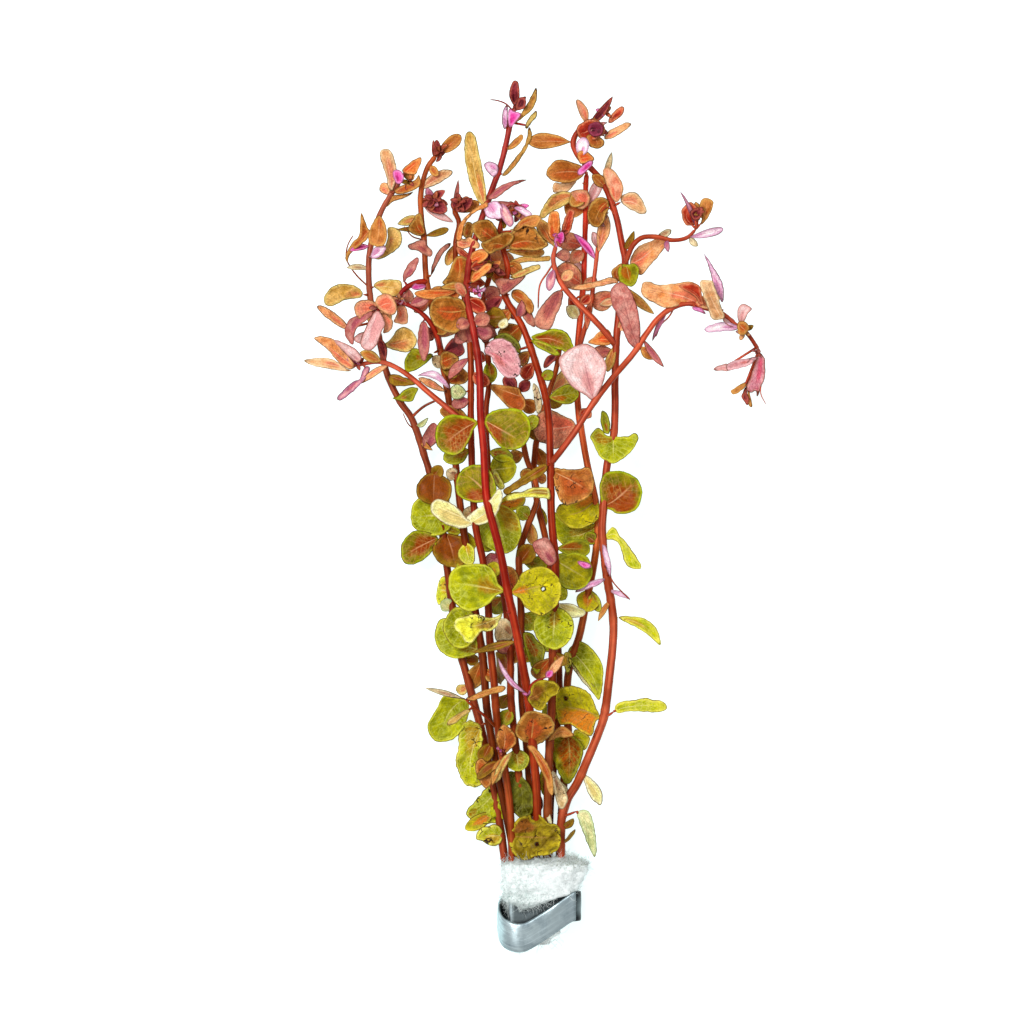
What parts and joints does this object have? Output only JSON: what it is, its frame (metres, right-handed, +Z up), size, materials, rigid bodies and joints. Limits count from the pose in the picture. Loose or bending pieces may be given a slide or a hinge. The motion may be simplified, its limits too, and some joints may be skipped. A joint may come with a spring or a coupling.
{
  "type": "bunch of whorly rotala",
  "caption": "Cut bunch of a red and green stemmed aquarium plant lying flat, its foot wrapped in white floss and held by a bent lead strip.",
  "frame": {"origin": "middle of the bounding box, on the surface that the bunch lies on", "axes": "+Y runs along the bunch from its leaded foot to the growing tips, +X across it, +Z up from the surface"},
  "size_m": [0.1315, 0.2492, 0.0299],
  "materials": {
    "lead": "satin",
    "floss": "matte",
    "stem": "satin",
    "side_shoot": "satin",
    "leaf_blush": "satin",
    "leaf_copper": "satin",
    "leaf_cream": "matte",
    "leaf_lime": "satin",
    "leaf_old": "satin",
    "leaf_olive": "satin",
    "leaf_pale": "satin",
    "leaf_rose": "satin",
    "leaf_rust": "satin",
    "leaf_salmon": "satin",
    "leaf_yellow": "satin"
  },
  "bodies": {
    "root": {"lead_strip": "lead", "floss_wrap": "floss", "stem_1": "stem", "stem_2": "stem", "stem_3": "stem", "stem_4": "stem", "stem_5": "stem", "stem_6": "stem", "stem_7": "stem", "stem_8": "stem", "stem_9": "stem", "stem_10": "stem", "shoot_arch": "side_shoot", "shoot_bend": "side_shoot", "shoot_curl": "side_shoot", "shoot_left": "side_shoot", "shoot_short": "side_shoot", "shoot_fan": "side_shoot", "shoot_thin": "side_shoot", "leaf_01": "leaf_old", "leaf_02": "leaf_lime", "leaf_03": "leaf_lime", "leaf_04": "leaf_yellow", "leaf_05": "leaf_rust", "leaf_06": "leaf_old", "leaf_07": "leaf_olive", "leaf_08": "leaf_lime", "leaf_09": "leaf_lime", "leaf_10": "leaf_lime", "leaf_11": "leaf_blush", "leaf_12": "leaf_lime", "leaf_13": "leaf_blush", "leaf_14": "leaf_rust", "leaf_15": "leaf_cream", "leaf_16": "leaf_cream", "leaf_17": "leaf_blush", "leaf_18": "leaf_olive", "leaf_19": "leaf_blush", "leaf_20": "leaf_blush", "leaf_21": "leaf_rust", "leaf_22": "leaf_copper", "leaf_23": "leaf_old", "leaf_24": "leaf_lime", "leaf_25": "leaf_olive", "leaf_26": "leaf_lime", "leaf_27": "leaf_blush", "leaf_28": "leaf_lime", "leaf_29": "leaf_old", "leaf_30": "leaf_old", "leaf_31": "leaf_lime", "leaf_32": "leaf_lime", "leaf_33": "leaf_olive", "leaf_34": "leaf_copper", "leaf_35": "leaf_pale", "leaf_36": "leaf_rose", "leaf_37": "leaf_rose", "leaf_38": "leaf_olive", "leaf_39": "leaf_copper", "leaf_40": "leaf_salmon"}
  },
  "joints": []
}
